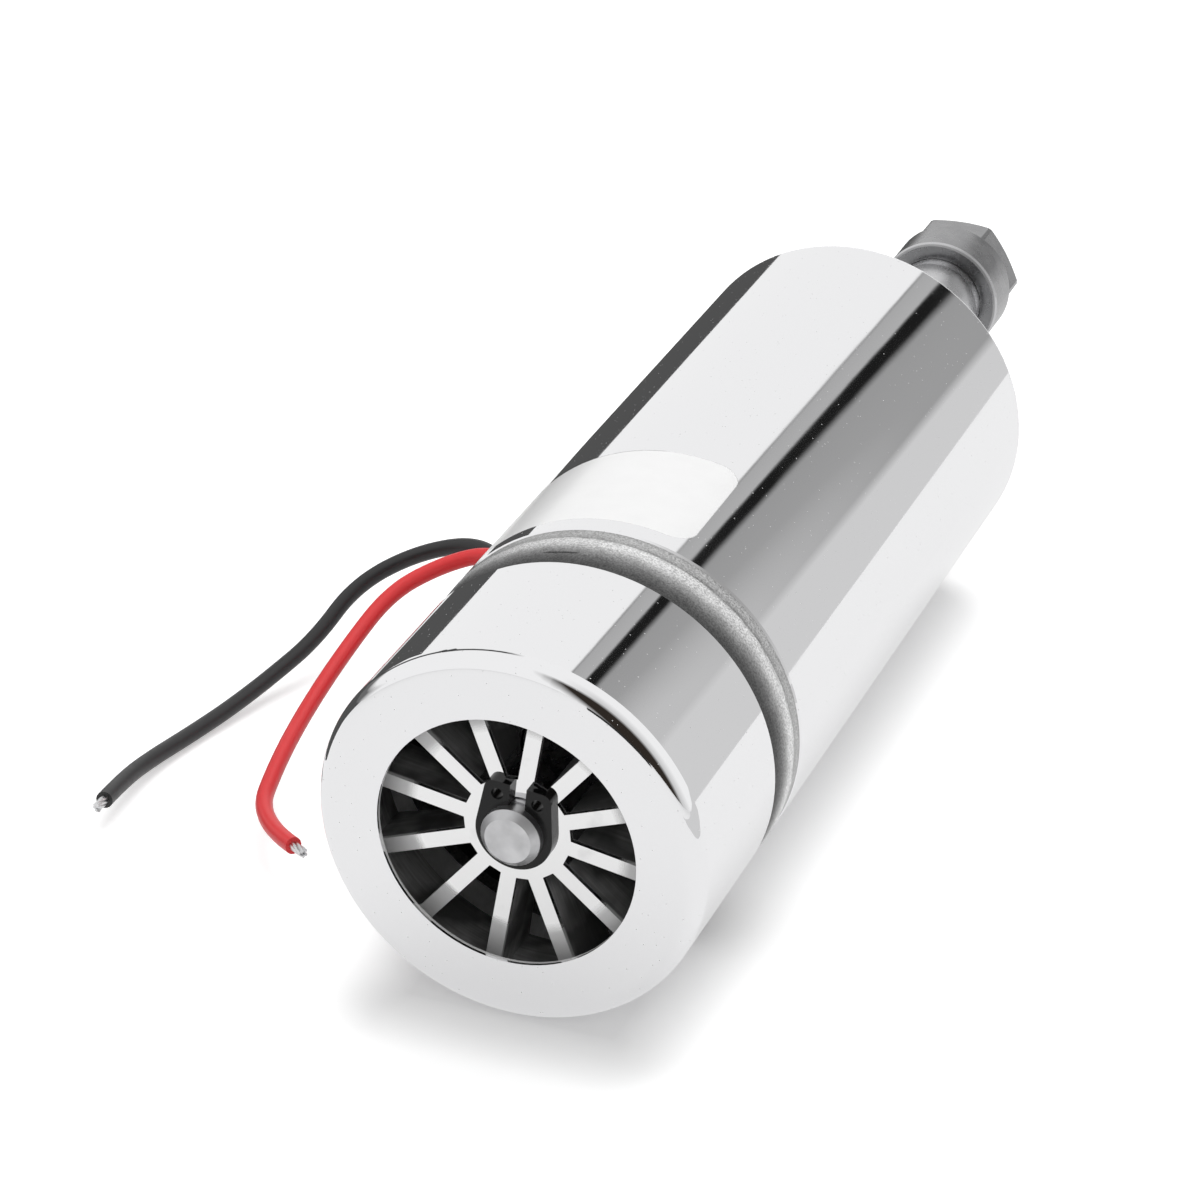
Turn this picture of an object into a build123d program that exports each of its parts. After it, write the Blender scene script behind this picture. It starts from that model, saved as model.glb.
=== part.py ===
from build123d import *
import os
from math import acos, cos, degrees, dist, radians, sin, sqrt, tan

os.makedirs("parts", exist_ok=True)

# Brushed DC motor spindle, lying on its side as it is stored. Millimetres, +Z up.
# +Y runs along the spindle from the rear cap to the collet nut. The origin is on the
# spindle axis, in the plane of the front end plate's face.

# Housing
body_dia = 52.0
tube_wall = 2.5
tube_length = 98.0
tube_edge_chamfer = 0.35
ring_length = 9.8
ring_land_length = 2.1
ring_land_draft = 0.12
ring_groove_width = 0.35
ring_groove_depth = 0.3
ring_shoulder_drop = 0.9
cap_length = 26.2
cap_sheet = 0.8
cap_rim_radius = 2.4
cap_opening_dia = 34.7
spigot_length = 5.0
spigot_wall = 1.6
plug_fit = 0.05

# Front end plate
plate_flange_thickness = 3.0
plate_flange_step = 1.1
plate_front_lip = 2.6
plate_nose_hole_dia = 19.0
mount_set_in = 7.0
mount_count = 4
mount_hole_dia = 3.3
mount_hole_depth = 10.0
seal_thickness = 1.6
retainer_thickness = 1.5
retainer_lap = 2.0
retainer_rim = 3.0
retainer_screw_count = 3
retainer_screw_dia = 2.5
retainer_screw_gap = 3.0
retainer_screw_head_dia = 4.4
retainer_screw_head_height = 1.4
retainer_screw_depth = 4.0
seal_gap = 0.3
seal_set_back = 0.4

# Ball bearings: bore, outside diameter and width, with shields
front_bearing_bore = 12.0
front_bearing_dia = 28.0
front_bearing_width = 8.0
rear_bearing_bore = 8.0
rear_bearing_dia = 22.0
rear_bearing_width = 7.0
race_share = 0.26
shield_gap = 0.25
shield_inset = 0.4

# Rear bell
web_thickness = 3.4
web_set_back = 5.6
boss_wall = 3.4
boss_lip = 1.5
boss_lip_bore_dia = 15.0
washer_thickness = 0.5
washer_gap = 0.2
washer_width = 2.0
cap_seat_length = 4.2
skirt_wall = 1.8
air_window_count = 4
air_window_boss_gap = 1.1
air_window_rim = 1.05
air_window_arc = 50.0
gate_mark_angle = 100.0
gate_mark_length = 2.0
gate_mark_set_in = 1.6
gate_mark_depth = 0.42

# Spindle shaft
shaft_rear_set_in = 0.7
shaft_rear_chamfer = 0.9
shaft_core_dia = 10.0
bearing_seat_run_out = 2.5
nose_dia = 14.0
nose_thread_dia = 14.0
nose_relief_dia = 13.2
nose_relief_length = 1.6
nose_thread_start_gap = 0.5
nose_end = 51.2
nose_end_chamfer = 0.6
spanner_flat_width = 12.0
spanner_flat_start = 20.0
spanner_flat_length = 17.0
spanner_flat_angle = -16.0
tool_bore_dia = 7.0
tool_bore_depth = 34.0
tool_bore_cone = 31.0
taper_run_out = 2.0

# Fan and its circlip
fan_set_in = 3.8
fan_sheet = 0.8
fan_rim_gap = 1.7
fan_depth = 10.5
fan_spoke_count = 12
fan_spoke_width = 2.1
fan_spoke_phase = 20.0
fan_window_inner_dia = 14.4
fan_rim_width = 2.2
fan_window_corner = 1.4
fan_shoulder_drop = 2.2
blade_thickness = 0.6
blade_inner_dia = 15.4
blade_inner_cut = 2.0
circlip_thickness = 1.1
circlip_groove_depth = 0.2
circlip_ring_dia = 10.3
circlip_gap_angle = 84.0
circlip_gap_width = 2.2
circlip_ear_reach = 5.5
circlip_ear_spread = 3.2
circlip_ear_round = 1.3
circlip_hole_dia = 1.6
circlip_hole_reach = 5.0
circlip_hole_spread = 2.7
fan_spacer_dia = 11.5
bearing_circlip_thickness = 1.0
bearing_circlip_groove_depth = 0.4
bearing_circlip_stand = 1.5
bearing_circlip_gap = 4.0

# Magnets and armature
magnet_thickness = 5.65
magnet_arc = 120.0
magnet_overhang = 2.0
magnet_front_gap = 9.0
magnet_glue_gap = 0.05
clip_sheet = 0.5
clip_side_gap = 0.2
clip_leg = 3.4
clip_length_share = 0.8
air_gap = 0.6
core_slot_count = 12
core_slot_mouth = 1.8
core_slot_width = 4.2
core_root_dia = 15.4
core_tip_height = 1.3
coil_gap = 0.25
coil_end_length = 6.0
coil_end_inner_dia = 15.0
coil_end_set_in = 1.7
coil_end_chamfer = 2.0
commutator_dia = 19.0
commutator_hub_dia = 14.0
commutator_length = 11.0
commutator_bars = 12
commutator_slot_width = 0.6
commutator_slot_depth = 1.2
commutator_to_core = 13.5
commutator_to_bearing = 2.0

# Tie bolts
bolt_dia = 3.0
bolt_head_dia = 5.4
bolt_head_height = 3.0
bolt_hex_socket = 2.5
bolt_rim_gap = 0.35
bolt_thread_depth = 8.0
bolt_clearance = 0.2

# Brush gear
card_thickness = 1.5
card_clearance = 0.3
card_bore_dia = 21.0
card_screw_dia = 2.0
card_screw_head_dia = 3.8
card_screw_head_height = 1.3
card_screw_depth = 2.5
card_screw_set_in = 3.55
card_screw_angle = 78.0
brush_width = 8.0
brush_height = 5.5
brush_running_gap = 0.1
brush_slide_gap = 0.06
holder_wall = 0.7
holder_nose_gap = 0.9
holder_rim_gap = 1.1
spring_rest_length = 4.1
spring_wire = 0.45
spring_coil_dia = 4.2
spring_turns = 4
spring_sides = 8
terminal_thickness = 0.8
terminal_set_in = 6.0

# Leads and grommet
lead_dia = 2.4
lead_tip_dia = 1.3
lead_tip_length = 2.6
lead_spacing = 2.8
upper_lead_height = -5.3
lead_hole_gap = 0.05
lead_arc_share = 0.45
inner_lead_radius = 3.0
inner_lead_low = 13.2
inner_lead_corners = (18.5, 11.5)
grommet_wall = 0.6
grommet_lip = 0.5
grommet_flange = 2.1
grommet_seat_depth = 2.2
grommet_neck_length = 1.3
grommet_hole_length = 5.0

# Corner points of the free leads, from the grommet to the stripped ends
red_route = [
    (-31.6, -100.8, -5.3),
    (-34.6, -95.3, -5.8),
    (-33.6, -84.0, -6.5),
    (-31.6, -71.0, -6.8),
    (-30.4, -61.0, -6.6),
    (-32.8, -54.4, -6.3),
    (-37.9, -52.6, -6.6),
    (-44.0, -55.6, -8.6),
    (-48.8, -61.5, -10.9),
    (-50.8, -71.8, -14.9),
    (-51.2, -84.5, -18.1),
    (-49.6, -97.3, -19.4),
    (-46.7, -110.2, -20.6),
    (-38.1, -116.3, -19.2),
]
black_route = [
    (-31.8, -100.8, -8.1),
    (-36.6, -95.5, -10.0),
    (-37.3, -83.0, -12.0),
    (-36.6, -70.0, -12.4),
    (-36.0, -57.0, -11.8),
    (-36.0, -48.5, -10.9),
    (-42.1, -44.3, -9.7),
    (-50.9, -47.1, -11.7),
    (-58.1, -53.1, -15.5),
    (-60.7, -61.7, -20.7),
    (-63.8, -70.3, -23.1),
    (-66.2, -78.7, -24.3),
    (-68.5, -87.2, -24.7),
    (-70.1, -95.4, -24.3),
    (-70.2, -103.3, -23.2),
    (-69.2, -111.0, -22.1),
]

# Collet and nut
collet_bore_dia = 3.175
collet_dia = 11.5
collet_taper = 8.0
collet_cone_length = 13.5
collet_land_length = 1.2
collet_groove_length = 1.4
collet_groove_dia = 9.2
collet_rim_dia = 10.2
collet_rim_length = 1.2
collet_slots = 4
collet_slot_width = 0.6
collet_slot_stop = 3.0
collet_mouth_reach = 0.6
collet_edge_length = 0.4
collet_rim_chamfer = 0.5
collet_fit = 0.05
nut_reach_back = 9.2
nut_collar_dia = 19.2
nut_collar_chamfer = 0.5
nut_across_flats = 17.0
nut_length = 13.0
nut_bevel = 1.6
nut_corner_dia = 19.3
nut_bevel_reach = 2.24
nut_thread_fit = 0.06
nut_thread_reach = 0.35
nut_inner_gap = 0.15
nut_hook_gap = 0.1
nut_hex_phase = 60.0
nut_flat_start = 7.2

# Radii and stations along the spindle, from the sizes above
body_radius = body_dia / 2
tube_bore_radius = body_radius - tube_wall
plate_depth = plate_front_lip + 2 * front_bearing_width
tube_rear = -tube_length
ring_rear = tube_rear - ring_length
cap_rear = ring_rear - cap_length
mount_radius = body_radius - mount_set_in
retainer_screw_radius = front_bearing_dia / 2 + retainer_screw_gap
front_bearing_front = -plate_front_lip
front_bearing_rear = front_bearing_front - 2 * front_bearing_width
bearing_circlip_groove_dia = front_bearing_bore - 2 * bearing_circlip_groove_depth
shaft_rear_dia = rear_bearing_bore
shaft_rear = cap_rear + shaft_rear_set_in
nut_rear = nose_end - nut_reach_back
fan_face = cap_rear + fan_set_in
fan_radius = body_radius - cap_sheet - fan_rim_gap
fan_window_radius = fan_radius - fan_rim_width
circlip_groove_dia = shaft_rear_dia - 2 * circlip_groove_depth
web_front = tube_rear - web_set_back
web_rear = web_front - web_thickness
rear_bearing_front = web_front - washer_thickness
rear_bearing_rear = rear_bearing_front - rear_bearing_width
boss_radius = rear_bearing_dia / 2 + boss_wall
spigot_radius = tube_bore_radius - plug_fit
spigot_bore_radius = spigot_radius - spigot_wall
bolt_radius = spigot_bore_radius - bolt_rim_gap - bolt_dia / 2
card_radius = spigot_bore_radius - card_clearance
card_front = web_front + card_thickness
card_screw_radius = card_radius - card_screw_set_in
air_window_inner_radius = boss_radius + air_window_boss_gap
air_window_outer_radius = card_radius - air_window_rim
magnet_outer_radius = tube_bore_radius - magnet_glue_gap
magnet_inner_radius = magnet_outer_radius - magnet_thickness
magnet_front = -plate_depth - magnet_front_gap
commutator_rear = rear_bearing_front + commutator_to_bearing
commutator_front = commutator_rear + commutator_length
core_radius = magnet_inner_radius - air_gap
core_rear = commutator_front + commutator_to_core
core_front = magnet_front - magnet_overhang
magnet_rear = core_rear - magnet_overhang
holder_width = brush_width + 2 * (brush_slide_gap + holder_wall)
holder_height = brush_height + 2 * (brush_slide_gap + holder_wall)
holder_end = tube_bore_radius - holder_rim_gap
brush_centre = card_front + holder_width / 2
brush_start = commutator_dia / 2 + brush_running_gap
brush_back = holder_end - holder_wall - spring_rest_length
grommet_y = tube_rear - web_set_back / 2
grommet_seat_x = -body_radius + grommet_seat_depth
grommet_face_x = grommet_seat_x - grommet_flange
red_exit = (grommet_face_x, grommet_y, upper_lead_height)
black_exit = (grommet_face_x, grommet_y, upper_lead_height - lead_spacing)
terminal_x = holder_end - terminal_set_in
terminal_bottom = upper_lead_height - lead_dia / 2


def polar(radius, angle):
    return (radius * cos(radians(angle)), radius * sin(radians(angle)))


def across(station):
    """The plane square to the spindle at a station: local x is X and local y is Z."""
    return Plane(origin=(0, station, 0), x_dir=(1, 0, 0), z_dir=(0, -1, 0))


def along(sketch, start, end):
    """A sketch in X and Z, made solid from one station to another."""
    return extrude(across(start) * sketch, amount=end - start, dir=(0, 1, 0))


def rod(dia, start, end):
    return along(Circle(dia / 2), start, end)


def ring(outer_dia, inner_dia, start, end):
    return along(Circle(outer_dia / 2) - Circle(inner_dia / 2), start, end)


def turned(*points):
    """A solid turned about the spindle axis from points of radius and station."""
    return revolve(make_face(Polyline(*points, close=True)), axis=Axis.Y)


def arc_band(outer_radius, inner_radius, middle_angle, arc):
    """A band between two radii, over an arc about a middle angle."""
    a0 = middle_angle - arc / 2
    a1 = middle_angle + arc / 2
    outline = Curve() + [
        ThreePointArc(polar(outer_radius, a0), polar(outer_radius, middle_angle), polar(outer_radius, a1)),
        Line(polar(outer_radius, a1), polar(inner_radius, a1)),
        ThreePointArc(polar(inner_radius, a1), polar(inner_radius, middle_angle), polar(inner_radius, a0)),
        Line(polar(inner_radius, a0), polar(outer_radius, a0)),
    ]
    return make_face(outline)


def block(x0, x1, y0, y1, z0, z1):
    centre = ((x0 + x1) / 2, (y0 + y1) / 2, (z0 + z1) / 2)
    return Pos(*centre) * Box(abs(x1 - x0), abs(y1 - y0), abs(z1 - z0))


def group(solids, label):
    return Compound(children=list(solids), label=label)


def motor_tube():
    """Steel tube, bored out at the front for the end plate's flange."""
    tube = ring(body_dia, 2 * tube_bore_radius, tube_rear, 0)
    flange_seat = 2 * (tube_bore_radius + plate_flange_step)
    tube -= rod(flange_seat, -plate_flange_thickness, 1)
    rims = [e for e in tube.edges().filter_by(GeomType.CIRCLE) if abs(e.radius - body_radius) < 0.01]
    return chamfer(rims, tube_edge_chamfer)


def front_plate():
    """End plate that plugs the tube: bearing seat, nose hole, fixing holes and tie bolt threads."""
    plug = 2 * (tube_bore_radius - plug_fit)
    plate = rod(plug, -plate_depth, 0)
    plate += rod(plug + 2 * plate_flange_step, -plate_flange_thickness, 0)
    plate -= rod(front_bearing_dia, -plate_depth - 1, front_bearing_front)
    plate -= rod(plate_nose_hole_dia, front_bearing_front - 1, 1)
    for angle in mount_angles():
        plate -= along(Pos(*polar(mount_radius, angle)) * Circle(mount_hole_dia / 2), -mount_hole_depth, 1)
    for angle in bolt_angles():
        hole = Pos(*polar(bolt_radius, angle)) * Circle(bolt_dia / 2)
        plate -= along(hole, -plate_depth - 1, -plate_depth + bolt_thread_depth)
    for angle in retainer_screw_angles():
        hole = Pos(*polar(retainer_screw_radius, angle)) * Circle(retainer_screw_dia / 2)
        plate -= along(hole, -plate_depth - 1, -plate_depth + retainer_screw_depth)
    return plate


def mount_angles():
    return [45 + 360 * n / mount_count for n in range(mount_count)]


def bolt_angles():
    return [90, 270]


def retainer_screw_angles():
    return [360 * n / retainer_screw_count for n in range(retainer_screw_count)]


def bearing_retainer():
    start = -plate_depth - retainer_thickness
    outer_dia = 2 * (retainer_screw_radius + retainer_rim)
    plate = ring(outer_dia, front_bearing_dia - 2 * retainer_lap, start, -plate_depth)
    for angle in retainer_screw_angles():
        hole = Pos(*polar(retainer_screw_radius, angle)) * Circle(retainer_screw_dia / 2)
        plate -= along(hole, start - 1, 0)
    for angle in bolt_angles():
        plate -= along(Pos(*polar(bolt_radius, angle)) * Circle(bolt_dia / 2 + bolt_clearance), start - 1, 0)
    return plate


def retainer_screws():
    seat = -plate_depth - retainer_thickness
    screws = []
    for angle in retainer_screw_angles():
        place = Pos(*polar(retainer_screw_radius, angle))
        screw = along(place * Circle(retainer_screw_dia / 2), seat, -plate_depth + retainer_screw_depth)
        screw += along(place * Circle(retainer_screw_head_dia / 2), seat - retainer_screw_head_height, seat)
        screws.append(screw)
    return group(screws, "retainer_screws")


def race_thickness(bore, outer):
    return race_share * (outer - bore) / 2


def outer_race(bore, outer, front, width):
    """Outer race, closed between its two shields, which stop just short of the inner race."""
    wall = race_thickness(bore, outer)
    shield_radius = bore / 2 + wall + shield_gap
    race_radius = outer / 2 - wall
    rear = front - width
    return turned(
        (outer / 2, rear),
        (outer / 2, front),
        (race_radius, front),
        (race_radius, front - shield_inset),
        (shield_radius, front - shield_inset),
        (shield_radius, rear + shield_inset),
        (race_radius, rear + shield_inset),
        (race_radius, rear),
    )


def inner_race(bore, outer, front, width):
    wall = race_thickness(bore, outer)
    return ring(bore + 2 * wall, bore, front - width, front)


def front_outer_race(number):
    front = front_bearing_front - number * front_bearing_width
    return outer_race(front_bearing_bore, front_bearing_dia, front, front_bearing_width)


def front_inner_race(number):
    front = front_bearing_front - number * front_bearing_width
    return inner_race(front_bearing_bore, front_bearing_dia, front, front_bearing_width)


def rear_outer_race():
    return outer_race(rear_bearing_bore, rear_bearing_dia, rear_bearing_front, rear_bearing_width)


def rear_inner_race():
    return inner_race(rear_bearing_bore, rear_bearing_dia, rear_bearing_front, rear_bearing_width)


def front_seal():
    """Felt ring in the nose hole, just clear of the shaft."""
    bore = nose_dia + 2 * seal_gap
    return ring(plate_nose_hole_dia, bore, -seal_set_back - seal_thickness, -seal_set_back)


def wave_washer():
    outer_dia = rear_bearing_dia - 2 * washer_gap
    return ring(outer_dia, outer_dia - 2 * washer_width, rear_bearing_front, web_front)


def rear_bell():
    """Cast bell: the ring seen outside, a web with air windows, the bearing boss and the cap's seat."""
    land_radius = body_radius - ring_groove_depth / 2
    groove_end = tube_rear - ring_land_length - ring_groove_width
    shoulder_radius = body_radius - ring_shoulder_drop
    seat_radius = body_radius - cap_sheet - plug_fit
    seat_rear = ring_rear - cap_seat_length
    skirt_radius = seat_radius - skirt_wall
    boss_rear = rear_bearing_rear - boss_lip
    middle = (body_radius - ring_shoulder_drop / 4, (groove_end + ring_rear) / 2)
    outline = Curve() + [
        Polyline(
            (shoulder_radius, ring_rear),
            (seat_radius, ring_rear),
            (seat_radius, seat_rear),
            (skirt_radius, seat_rear),
            (skirt_radius, web_rear),
            (boss_radius, web_rear),
            (boss_radius, boss_rear),
            (boss_lip_bore_dia / 2, boss_rear),
            (boss_lip_bore_dia / 2, rear_bearing_rear),
            (rear_bearing_dia / 2, rear_bearing_rear),
            (rear_bearing_dia / 2, web_front),
            (spigot_bore_radius, web_front),
            (spigot_bore_radius, tube_rear + spigot_length),
            (spigot_radius, tube_rear + spigot_length),
            (spigot_radius, tube_rear),
            (land_radius, tube_rear),
            (land_radius - ring_land_draft, tube_rear - ring_land_length),
            (land_radius - ring_groove_depth, tube_rear - ring_land_length),
            (land_radius - ring_groove_depth, groove_end),
            (body_radius, groove_end),
        ),
        ThreePointArc((body_radius, groove_end), middle, (shoulder_radius, ring_rear)),
    ]
    bell = revolve(make_face(outline), axis=Axis.Y)
    for angle in air_window_angles():
        window = arc_band(air_window_outer_radius, air_window_inner_radius, angle, air_window_arc)
        bell -= along(window, web_rear - 1, web_front + 1)
    for angle in bolt_angles():
        hole = Pos(*polar(bolt_radius, angle)) * Circle(bolt_dia / 2 + bolt_clearance)
        bell -= along(hole, web_rear - 1, web_front + 1)
    for place in card_screw_places():
        bell -= along(Pos(*place) * Circle(card_screw_dia / 2), web_front - card_screw_depth, web_front + 1)
    room = holder_height / 2 + card_clearance
    reach = holder_end + card_clearance
    bell -= block(-reach, reach, web_front, tube_rear + spigot_length + 1, -room, room)
    bell -= grommet_slot(grommet_reach(False), -body_radius - 1, grommet_seat_x + grommet_hole_length)
    flange = grommet_reach(True)
    bell -= block(
        -body_radius - 1, grommet_seat_x, grommet_y - flange, grommet_y + flange,
        black_exit[2] - flange, red_exit[2] + flange,
    )
    return bell - gate_mark()


def gate_mark():
    """What is filed off the ring where the casting's gate was: a small flat."""
    flat = body_radius - gate_mark_depth
    chip = Pos(flat + body_radius / 2, 0) * Rectangle(body_radius, body_radius)
    start = ring_rear + gate_mark_set_in
    return along(Rot(0, 0, gate_mark_angle) * chip, start, start + gate_mark_length)


def air_window_angles():
    return [45 + 360 * n / air_window_count for n in range(air_window_count)]


def card_screw_places():
    return [polar(card_screw_radius, angle) for angle in (card_screw_angle, card_screw_angle + 180)]


def grommet_reach(flange):
    """Half the width of the grommet's neck, or of its flange."""
    neck = lead_dia / 2 + grommet_wall
    return neck + grommet_lip if flange else neck


def grommet_slot(radius, x_from, x_to):
    """An upright slot shape that holds both leads one above the other, made solid along X."""
    middle = (red_exit[2] + black_exit[2]) / 2
    plane = Plane(origin=(x_from, grommet_y, middle), x_dir=(0, 0, 1), z_dir=(-1, 0, 0))
    return extrude(plane * SlotCenterToCenter(lead_spacing, 2 * radius), amount=x_to - x_from, dir=(1, 0, 0))


def lead_grommet():
    """Rubber grommet: a flange outside, a neck through the ring, and two lead holes."""
    grommet = grommet_slot(grommet_reach(True), grommet_face_x, grommet_seat_x)
    grommet += grommet_slot(grommet_reach(False), grommet_seat_x, grommet_seat_x + grommet_neck_length)
    for x, y, z in (red_exit, black_exit):
        plane = Plane(origin=(x - 1, y, z), z_dir=(1, 0, 0))
        grommet -= extrude(plane * Circle(lead_dia / 2 + lead_hole_gap), amount=grommet_hole_length)
    return grommet


def rear_cap():
    """Drawn sheet cup with a rounded rim and a round air opening."""
    outside = rod(body_dia, cap_rear, ring_rear)
    outside = fillet(rim_edges(outside, body_radius, cap_rear), cap_rim_radius)
    inside = rod(body_dia - 2 * cap_sheet, cap_rear + cap_sheet, ring_rear + 1)
    inner_rim = rim_edges(inside, body_radius - cap_sheet, cap_rear + cap_sheet)
    inside = fillet(inner_rim, cap_rim_radius - cap_sheet)
    return outside - inside - rod(cap_opening_dia, cap_rear - 1, cap_rear + cap_sheet + 1)


def rim_edges(solid, radius, station):
    """The round edges of a solid at a radius and a station."""
    return [
        e
        for e in solid.edges().filter_by(GeomType.CIRCLE)
        if abs(e.radius - radius) < 0.01 and abs(e.arc_center.Y - station) < 0.01
    ]


def field_magnets():
    bands = [arc_band(magnet_outer_radius, magnet_inner_radius, angle, magnet_arc) for angle in (0, 180)]
    return group([along(band, magnet_rear, magnet_front) for band in bands], "field_magnets")


def magnet_clips():
    """Two spring clips that push the magnets apart: a back against the tube and two bent legs."""
    outer = magnet_outer_radius
    spread = 180 - magnet_arc
    side = degrees(clip_side_gap / outer)
    middle = (magnet_front + magnet_rear) / 2
    reach = (magnet_front - magnet_rear) * clip_length_share / 2
    clips = []
    for angle in bolt_angles():
        outline = arc_band(outer, outer - clip_sheet, angle, spread - 2 * side)
        for way in (-1, 1):
            edge = angle + way * (spread / 2 - side)
            leg = degrees(clip_sheet / outer)
            outline += arc_band(outer, outer - clip_leg, edge - way * leg / 2, leg)
        clips.append(along(outline, middle - reach, middle + reach))
    return group(clips, "magnet_clips")


def tie_bolts():
    """Two long socket-head bolts, from the bell's web into the front plate."""
    bolts = []
    for angle in bolt_angles():
        place = Pos(*polar(bolt_radius, angle))
        bolt = along(place * Circle(bolt_dia / 2), web_rear, -plate_depth + bolt_thread_depth)
        bolt += along(place * Circle(bolt_head_dia / 2), web_rear - bolt_head_height, web_rear)
        socket = place * RegularPolygon(bolt_hex_socket / 2, 6, major_radius=False)
        bolts.append(bolt - along(socket, web_rear - bolt_head_height - 1, web_rear - bolt_head_height / 2))
    return group(bolts, "tie_bolts")


def brush_card():
    """Insulating plate on the bell's web that carries the brush holders, with the web's air windows."""
    card = ring(2 * card_radius, card_bore_dia, web_front, card_front)
    for angle in air_window_angles():
        window = arc_band(air_window_outer_radius, air_window_inner_radius, angle, air_window_arc)
        card -= along(window, web_front - 1, card_front + 1)
    for angle in bolt_angles():
        hole = Pos(*polar(bolt_radius, angle)) * Circle(bolt_dia / 2 + bolt_clearance)
        card -= along(hole, web_front - 1, card_front + 1)
    for place in card_screw_places():
        card -= along(Pos(*place) * Circle(card_screw_dia / 2), web_front - 1, card_front + 1)
    return card


def card_screws():
    screws = []
    for place in card_screw_places():
        head = Pos(*place) * Circle(card_screw_head_dia / 2)
        screw = along(Pos(*place) * Circle(card_screw_dia / 2), web_front - card_screw_depth, card_front)
        screw += along(head, card_front, card_front + card_screw_head_height)
        screws.append(screw)
    return group(screws, "card_screws")


def brush_box(side, x0, x1, width, height):
    y0 = brush_centre - width / 2
    return block(side * x0, side * x1, y0, y0 + width, -height / 2, height / 2)


def brush_holder(side):
    """Brass box that guides one brush, closed at its outer end, with a solder terminal below it."""
    start = commutator_dia / 2 + holder_nose_gap
    holder = brush_box(side, start, holder_end, holder_width, holder_height)
    bore_width = brush_width + 2 * brush_slide_gap
    bore_height = brush_height + 2 * brush_slide_gap
    holder -= brush_box(side, start - 1, holder_end - holder_wall, bore_width, bore_height)
    tag_x = side * terminal_x
    half = terminal_thickness / 2
    tag_front = 2 * grommet_y - card_front
    tag_top = -holder_height / 2 + holder_wall / 2
    return holder + block(tag_x - half, tag_x + half, card_front, tag_front, terminal_bottom, tag_top)


def brush(side):
    """Carbon brush, hollowed at its inner end to sit on the commutator."""
    body = brush_box(side, brush_start - 1, brush_back, brush_width, brush_height)
    return body - rod(2 * brush_start, commutator_rear - 1, commutator_front + 1)


def brush_spring(side):
    """Light coil spring between the brush and the end of its holder, wound on an octagon."""
    pitch = (spring_rest_length - 2 * spring_wire) / (spring_turns * spring_sides)
    radius = spring_coil_dia / 2
    points = []
    for n in range(spring_turns * spring_sides + 1):
        y, z = polar(radius, 360 * n / spring_sides)
        points.append((side * (brush_back + spring_wire + n * pitch), brush_centre + y, z))
    path = Polyline(*points)
    start = Plane(origin=path @ 0, z_dir=path % 0)
    return sweep(start * Rectangle(spring_wire, spring_wire), path=path, transition=Transition.RIGHT)


def brush_leads():
    """Inner stretch of both leads: red to the near holder's terminal and black to the far one's."""
    near_x = -terminal_x - terminal_thickness / 2
    red = lead_tube(Line(red_exit, (near_x, grommet_y, red_exit[2])))
    level, low = inner_lead_corners
    black_path = FilletPolyline(
        black_exit,
        (-level, grommet_y, black_exit[2]),
        (-low, grommet_y, -inner_lead_low),
        (terminal_x, grommet_y, -inner_lead_low),
        (terminal_x, grommet_y, terminal_bottom),
        radius=inner_lead_radius,
    )
    return group([red, lead_tube(black_path)], "brush_leads")


def lead_tube(path):
    section = Plane(origin=path @ 0, z_dir=path % 0) * Circle(lead_dia / 2)
    return sweep(section, path=path)


def corner_radii(points):
    """A smooth radius for each inner corner: the arcs take most of the shorter run beside them."""
    radii = []
    for before, corner, after in zip(points, points[1:], points[2:]):
        run_in = dist(before, corner)
        run_out = dist(corner, after)
        dot = sum((c - b) * (a - c) for b, c, a in zip(before, corner, after))
        turn = acos(dot / (run_in * run_out))
        radii.append(lead_arc_share * min(run_in, run_out) / tan(turn / 2))
    return radii


def free_lead(exit_point, route):
    points = [exit_point] + route
    radii = corner_radii(points)
    path = FilletPolyline(*points, radius=radii)
    print("lead length", round(path.length, 1), "smallest radius", round(min(radii), 1))
    print("radii", [round(r, 1) for r in radii])
    return lead_tube(path)


def red_lead():
    return free_lead(red_exit, red_route)


def black_lead():
    return free_lead(black_exit, black_route)


def lead_tip(route):
    """Tinned strands that go straight on from the cut end of a lead."""
    end = Vector(*route[-1])
    way = (end - Vector(*route[-2])).normalized()
    return extrude(Plane(origin=end, z_dir=way) * Circle(lead_tip_dia / 2), amount=lead_tip_length)


def armature_core():
    """Laminated core with slots that open through narrow mouths between the tooth tips."""
    outline = Circle(core_radius) - Circle(shaft_core_dia / 2)
    for n in range(core_slot_count):
        turn = Rot(0, 0, 360 * n / core_slot_count)
        outline -= turn * core_slot(0)
        outline -= turn * Pos(core_radius, 0) * Rectangle(2 * core_tip_height + 1, core_slot_mouth)
    return along(outline, core_rear, core_front)


def core_slot(gap):
    """One winding slot, pointing along local x: wide at the tooth tips and narrow at the root."""
    outer = core_radius - core_tip_height - gap
    inner = core_root_dia / 2 + gap
    wide = core_slot_width / 2 - gap
    narrow = core_slot_width / 4 - gap
    return make_face(Polyline((inner, -narrow), (outer, -wide), (outer, wide), (inner, narrow), close=True))


def armature_windings():
    """Copper in each slot, joined by the bevelled end turns before and behind the core."""
    hoop_radius = core_radius - coil_end_set_in
    coils = None
    rear_hoop = (core_rear - coil_end_length, core_rear - coil_gap)
    front_hoop = (core_front + coil_gap, core_front + coil_end_length)
    for start, end in (rear_hoop, front_hoop):
        hoop = ring(2 * hoop_radius, coil_end_inner_dia, start, end)
        far = start if start < core_rear else end
        hoop = chamfer(rim_edges(hoop, hoop_radius, far), coil_end_chamfer)
        coils = hoop if coils is None else coils + hoop
    for n in range(core_slot_count):
        turn = Rot(0, 0, 360 * n / core_slot_count)
        coils += along(turn * core_slot(coil_gap), core_rear - 1, core_front + 1)
    return coils


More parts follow.
